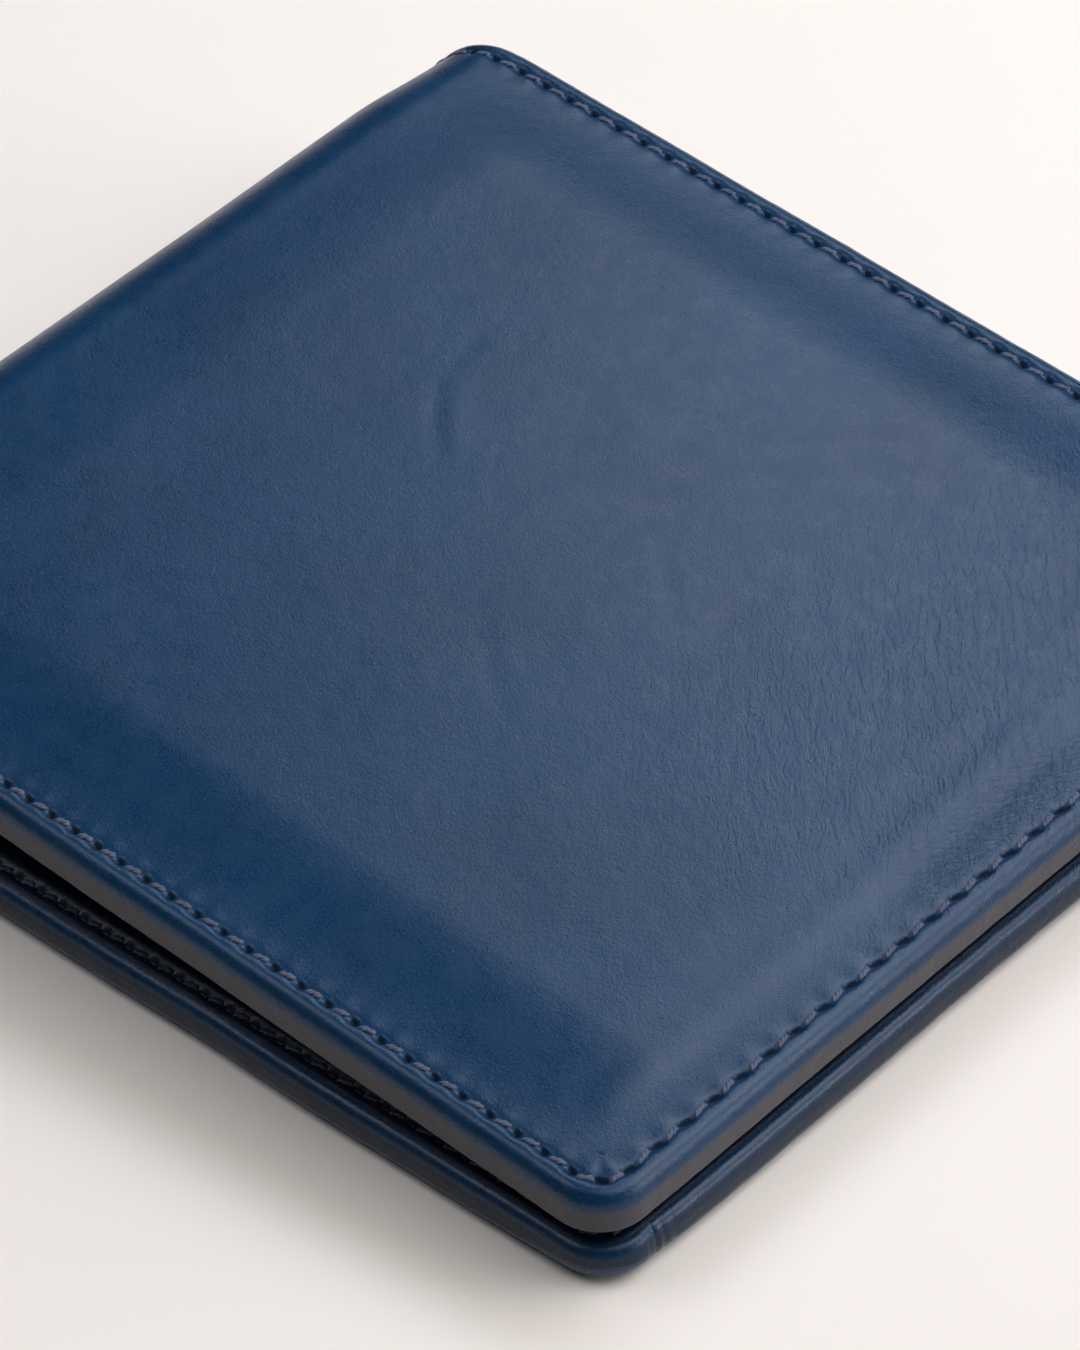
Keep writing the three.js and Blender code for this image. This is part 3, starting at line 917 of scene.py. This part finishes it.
def panel_material(name, dark, light):
    """The thin leather inside, lighter along the mouths and creased beside them."""
    m = Nodes(name)
    where = m.attribute("leather")
    mouth = m.attribute("mouth", "Fac")
    patches = m.noise(where, 0.3, 3.0, 0.6)
    fine = m.noise(where, 4.5, 2.0, 0.6)
    base = m.mix(m.remap(patches, 0.35, 0.7), dark, light)
    base = m.mix(m.remap(fine, 0.45, 0.8, 0, 0.4), base, tuple(1.5 * c for c in light))
    lighter_at_mouth = m.remap(mouth, 0.0, 0.5, 0.35, 0.0)
    base = m.mix(lighter_at_mouth, base, tuple(2.2 * c for c in light))
    line = m.math("SUBTRACT", mouth, MOUTH_CREASE)
    line = m.math("ABSOLUTE", line)
    line = m.remap(line, 0.0, 0.28)
    creased = m.bump(line, 0.07)
    pebble = m.pebbles(where, 2.6, 0.6)
    pebbled = m.bump(pebble, 0.035, creased)
    grain = m.bump(m.noise(where, 6.0, 3.0, 0.6), 0.02, pebbled)
    rough = m.remap(patches, 0.3, 0.7, 0.46, 0.58)
    m.set(Base_Color=base, Roughness=rough, Normal=grain)
    return m.material


RIB_PITCH = 0.5
CROSS_PITCH = 0.28


def lining_material():
    m = Nodes("lining_twill")
    where = m.attribute("leather")
    turned = m.mapping(where, (1, 1, 1), math.radians(45))
    u, v, _ = m.split(turned)
    ribs = m.math("SINE", m.math("MULTIPLY", u, 2 * math.pi / RIB_PITCH))
    cross = m.math("SINE", m.math("MULTIPLY", v, 2 * math.pi / CROSS_PITCH))
    weave = m.math("ADD", m.math("MULTIPLY", ribs, 0.36), m.math("MULTIPLY", cross, 0.14))
    weave = m.math("ADD", weave, 0.5)
    lint = m.noise(where, 1.1, 3.0, 0.6)
    base = m.mix(m.remap(weave, 0.1, 0.9), (0.006, 0.008, 0.018), (0.022, 0.029, 0.052))
    base = m.mix(m.remap(lint, 0.45, 0.8, 0, 0.4), base, (0.034, 0.042, 0.068))
    m.set(Base_Color=base, Roughness=m.remap(lint, 0.3, 0.7, 0.72, 0.86),
          Normal=m.bump(weave, 0.06), Sheen_Weight=0.15, Sheen_Roughness=0.5)
    return m.material


def thread_material():
    m = Nodes("waxed_thread")
    where = m.attribute("strand")
    along, around, tone = m.split(where)
    advance = m.math("MULTIPLY", along, 1.0 / TWIST_LENGTH * 3.0)
    lean = m.math("ADD", advance, m.math("MULTIPLY", around, -2.0))
    ply = m.math("SINE", m.math("MULTIPLY", lean, 2 * math.pi))
    ply = m.remap(ply, -1, 1, 0, 1)
    fibres = m.noise(m.mapping(where, (4, 14, 3)), 3.0, 3.0, 0.65)
    base = m.mix(m.remap(tone, 0, 1), (0.050, 0.057, 0.106), (0.074, 0.080, 0.138))
    # Painted shade in the grooves between the two plies.
    base = m.mix(m.remap(ply, 0.0, 0.5, 0.55, 0.0), base, (0.016, 0.021, 0.042))
    base = m.mix(m.remap(fibres, 0.4, 0.75, 0, 0.5), base, (0.11, 0.125, 0.19))
    # The rows on the inside are painted darker, as their shade inside the wallet.
    base = m.mix(m.remap(tone, -0.1, 0.0, 0.75, 0.0), base, (0.009, 0.012, 0.026))
    relief = m.math("ADD", m.math("MULTIPLY", ply, 0.6), m.math("MULTIPLY", fibres, 0.4))
    normal = m.bump(relief, 0.06)
    m.set(Base_Color=base, Roughness=m.remap(fibres, 0.3, 0.7, 0.5, 0.7), Normal=normal,
          Sheen_Weight=0.1, Sheen_Roughness=0.4)
    return m.material


def board_material():
    m = Nodes("fibre_board")
    coordinates = m.tree.nodes.new("ShaderNodeTexCoord").outputs["Object"]
    fibres = m.noise(m.mapping(coordinates, (260, 900, 400)), 3.0, 4.0, 0.7)
    specks = m.noise(coordinates, 1500, 2.0, 0.5)
    base = m.mix(m.remap(fibres, 0.35, 0.7), (0.20, 0.155, 0.105), (0.33, 0.265, 0.185))
    base = m.mix(m.remap(specks, 0.62, 0.75, 0, 0.7), base, (0.09, 0.065, 0.045))
    rough = m.remap(fibres, 0.3, 0.7, 0.82, 0.95)
    m.set(Base_Color=base, Roughness=rough, Normal=m.bump(fibres, 0.08))
    return m.material


def floor_material():
    m = Nodes("pale_floor")
    coordinates = m.tree.nodes.new("ShaderNodeTexCoord").outputs["Object"]
    tone = m.noise(coordinates, 9.0, 3.0, 0.5)
    base = m.mix(m.remap(tone, 0.3, 0.7), (0.842, 0.758, 0.680), (0.858, 0.774, 0.696))
    m.set(Base_Color=base, Roughness=0.75, Specular_IOR_Level=0.2)
    return m.material


# ---- camera, floor and lights

CAMERA_AZIMUTH = math.radians(46.051)
CAMERA_ELEVATION = math.radians(41.775)
CAMERA_ROLL = math.radians(-4.919)
CAMERA_DISTANCE = 0.60096  # metres, as are the other lengths in this section
LOOK_AT = Vector((0.006389, -0.004861, 0.008))
FOCAL_LENGTH = 188.46  # millimetres, on a sensor 36 wide
SENSOR_WIDTH = 36
FLOOR_HALF = 3.0
FLOOR_LEVEL = -0.0001


def make_camera():
    data = bpy.data.cameras.new("camera")
    data.lens = FOCAL_LENGTH
    data.sensor_width = SENSOR_WIDTH
    data.clip_start = 0.01
    data.clip_end = 20
    camera = bpy.data.objects.new("camera", data)
    bpy.context.scene.collection.objects.link(camera)
    a, e = CAMERA_AZIMUTH, CAMERA_ELEVATION
    back = Vector((math.sin(a) * math.cos(e), -math.cos(a) * math.cos(e), math.sin(e)))
    right = Vector((math.cos(a), math.sin(a), 0))
    up = back.cross(right)
    c, q = math.cos(CAMERA_ROLL), math.sin(CAMERA_ROLL)
    rolled_right = right * c + up * q
    rolled_up = up * c - right * q
    turn = Matrix((rolled_right, rolled_up, back)).transposed()
    camera.matrix_world = Matrix.Translation(LOOK_AT + back * CAMERA_DISTANCE) @ turn.to_4x4()
    bpy.context.scene.camera = camera


def make_floor(material):
    signs = ((-1, -1), (1, -1), (1, 1), (-1, 1))
    points = np.array([(x * FLOOR_HALF, y * FLOOR_HALF, FLOOR_LEVEL) for x, y in signs])
    floor = new_mesh("floor", points, np.array([[0, 1, 2, 3]]))
    floor.data.materials.append(material)


def area_light(name, azimuth, elevation, distance, size, radiance, colour):
    """A camera-invisible soft box aimed at the wallet; azimuth in degrees from +X towards +Y."""
    data = bpy.data.lights.new(name, "AREA")
    data.shape = "RECTANGLE"
    data.size, data.size_y = size
    data.energy = radiance * math.pi * size[0] * size[1]
    data.color = colour
    a, e = math.radians(azimuth), math.radians(elevation)
    toward = Vector((math.cos(a) * math.cos(e), math.sin(a) * math.cos(e), math.sin(e)))
    light = bpy.data.objects.new(name, data)
    light.location = toward * distance
    light.rotation_mode = "QUATERNION"
    light.rotation_quaternion = (-toward).to_track_quat("-Z", "Y")
    light.visible_camera = False
    bpy.context.scene.collection.objects.link(light)


COOL = (0.93, 1.0, 1.13)
NEUTRAL = (1.0, 0.99, 0.98)


def make_light():
    world = bpy.data.worlds.new("studio")
    world.use_nodes = True
    background = world.node_tree.nodes.get("Background")
    background.inputs["Color"].default_value = (0.9, 0.95, 1.0, 1)
    background.inputs["Strength"].default_value = 0.04
    bpy.context.scene.world = world
    # A window behind the wallet, whose reflection is the sheen on the middle and right of the face.
    area_light("window", 77, 53, 0.54, (0.905, 0.166), 4.8, COOL)
    # A small weak one above it, for the slope beside the open edge's stitches.
    area_light("window_top", 101, 61, 0.56, (0.34, 0.13), 1.2, COOL)
    # A large one high on the right, which lights the scene and shades the front left edge.
    area_light("overhead", 15, 66, 1.1, (0.9, 0.7), 2.4, NEUTRAL)
    # A weak wide one on the right, low enough to reach the open edge's side.
    area_light("side", 45, 30, 1.2, (1.4, 0.7), 1.3, NEUTRAL)
    # One on the left, which the rolled edge and the stitched margin there reflect.
    area_light("near", -139, 57, 1.1, (0.55, 0.40), 3.6, COOL)
    # A small low one, for the highlight along the rolled edge.
    area_light("low", 31, 12, 1.2, (0.6, 0.14), 13.0, COOL)


# ---- everything together

PATH_STEP = {"upper": 0.17, "lower": 0.22}
FACE_STEP = {"upper": 0.5, "lower": 0.8}
PANEL_STEP = 1.2
HOLE_SEED = {"upper": 11, "lower": 23}
WAVE_SEED = {"upper": 40.0, "lower": 60.0}
# The third texture coordinate, so that the layers of a leaf differ in pattern.
LAYER_TAGS = {
    "lining": 3,
    "wall": 10,
    "card_pocket_top": 20,
    "card_pocket_middle": 30,
    "front_pocket": 40,
}
SEAM_HOLES = (-43.2, 44.6, 3.1)  # first hole, end and pitch of the pocket seam along the fold
PAINTED_SHADE_TONE = -1.0  # added to the tone of the rows inside, for their painted shade

make_camera()
make_light()
make_floor(floor_material())

# The sides of the rolled edges get painted reflections: warm grey-brown for the pale floor on the
# upper leaf, dark navy for the shaded floor under the lower one.
leathers = {
    "upper": cover_material("cover_leather_upper", (0.042, 0.0355, 0.0350), 4.4),
    "lower": cover_material("cover_leather_lower", (0.0020, 0.0065, 0.016), 4.5),
}
inner_leather = panel_material("pocket_leather", (0.0035, 0.0085, 0.024), (0.006, 0.014, 0.036))
twill = lining_material()
thread = thread_material()
board = board_material()


def finish_piece(obj, material, nodes, leaf_name, bends):
    """Gives a piece its material and its place in the frame; bends is True across the fold."""
    obj.data.materials.append(material)
    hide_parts(*nodes)
    if bends:
        blend_fold(obj)
    else:
        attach(obj, leaf_name + "_leaf")


def build_lining(name):
    """The bill compartment's lining, one half from the middle of the spine to the open edge."""
    spine_s = spine_middle(LEAVES[name])
    s_lines = lines_with_edges(spine_s, PANEL_END, 1.2, (LINING_SHOULDER,))
    marks = (-LINING_SPINE_HALF, LINING_SPINE_HALF)
    y_lines = lines_with_edges(PANEL_BOTTOM, -PANEL_BOTTOM, 1.5, marks)
    leaf_part = rounded_ends(LINING_SHOULDER, PANEL_END, PANEL_BOTTOM, -PANEL_BOTTOM, PANEL_CORNER)

    def inside(x, y):
        return np.where(x < LINING_SHOULDER, np.abs(y) < LINING_SPINE_HALF, leaf_part(x, y))

    lining = thin_sheet("lining_twill_" + name, name, s_lines, y_lines, inside, LINING_DEPTHS,
                        lambda x, y: 0 * x, None, LAYER_TAGS["lining"])
    nodes = ["lining_" + name] + (["lining_spine"] if name == "upper" else [])
    finish_piece(lining, twill, nodes, name, True)


def panel_lines(marks=()):
    """Grid lines of a leather panel, from the spine to the open edge."""
    return lines_with_edges(PANEL_START, PANEL_END, PANEL_STEP, marks)


def build_wall(name, wave):
    """The inner wall, which closes the bill compartment."""
    inside = rounded_ends(PANEL_START, PANEL_END, PANEL_BOTTOM, PANEL_TOP, PANEL_CORNER)
    wall = thin_sheet("inner_wall_leather_" + name, name, panel_lines(),
                      lines_with_edges(PANEL_BOTTOM, PANEL_TOP, PANEL_STEP),
                      inside, WALL_DEPTHS, wave, PANEL_TOP, LAYER_TAGS["wall"])
    finish_piece(wall, inner_leather, ["inner_wall_" + name], name, False)


def build_card_pocket(name, part, mouth, depths, wave):
    """A T-shaped pocket: a bar under its mouth and a narrower leg behind the next pocket."""
    bar = mouth - MOUTH_BAR
    sides = (PANEL_START + LEG_INSET, PANEL_END - LEG_INSET)

    def inside(x, y):
        return (y > bar) | ((x > sides[0]) & (x < sides[1]))

    pocket = thin_sheet(part + "_leather_" + name, name, panel_lines(sides),
                        lines_with_edges(bar - LEG_LENGTH, mouth, PANEL_STEP, (bar,)),
                        inside, depths, wave, mouth, LAYER_TAGS[part])
    finish_piece(pocket, inner_leather, [part + "_" + name], name, False)


def build_front_pocket(name, wave):
    mouth = CARD_MOUTHS[2]
    inside = rounded_ends(PANEL_START, PANEL_END, PANEL_BOTTOM, -PANEL_BOTTOM, PANEL_CORNER)
    front = thin_sheet("front_pocket_leather_" + name, name, panel_lines(),
                       lines_with_edges(PANEL_BOTTOM, mouth, PANEL_STEP),
                       inside, POCKET_DEPTHS[2], wave, mouth, LAYER_TAGS["front_pocket"])
    finish_piece(front, inner_leather, ["front_pocket_" + name], name, False)


def build_stitching(name, path, holes):
    spans = spans_between(holes, THREAD_SHARE)
    outer = strands("stitches_outer_" + name, name, row_on_face(path), spans, 1, 5)
    nodes = ["stitching_outer_" + name]
    if name == "upper":
        nodes += ["stitching_spine_bottom", "stitching_spine_top"]
    finish_piece(outer, thread, nodes, name, True)
    inner = strands("stitches_inner_" + name, name, row_on_hem(name, path), spans, -1, 6,
                    PAINTED_SHADE_TONE)
    nodes = ["stitching_inner_" + name, "stitching_top_hem_" + name]
    finish_piece(inner, thread, nodes, name, True)
    seam_spans = spans_between(np.arange(*SEAM_HOLES), THREAD_SHARE)
    seam = strands("pocket_seam_stitches_" + name, name, row_on_panels, seam_spans, -1, 7,
                   PAINTED_SHADE_TONE)
    finish_piece(seam, thread, ["pocket_seam_" + name], name, False)


def build_leaf(name):
    path = Path(LEAVES[name], PATH_STEP[name])
    holes = hole_positions(path, HOLE_SEED[name])
    cover = cover_half(name, path, holes, FACE_STEP[name])
    nodes = ["cover_" + name] + (["cover_spine"] if name == "upper" else [])
    finish_piece(cover, leathers[name], nodes, name, True)
    build_lining(name)
    wave = panel_wave(WAVE_SEED[name])
    build_wall(name, wave)
    card_pockets = ("card_pocket_top", "card_pocket_middle")
    for part, mouth, depths in zip(card_pockets, CARD_MOUTHS, POCKET_DEPTHS):
        build_card_pocket(name, part, mouth, depths, wave)
    build_front_pocket(name, wave)
    build_stitching(name, path, holes)
    # The board behind the leather keeps the CAD's shape.
    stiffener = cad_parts["stiffener_board_" + name]
    stiffener.data.materials.clear()
    stiffener.data.materials.append(board)


build_leaf("lower")
build_leaf("upper")

bpy.context.scene.view_settings.view_transform = "Standard"
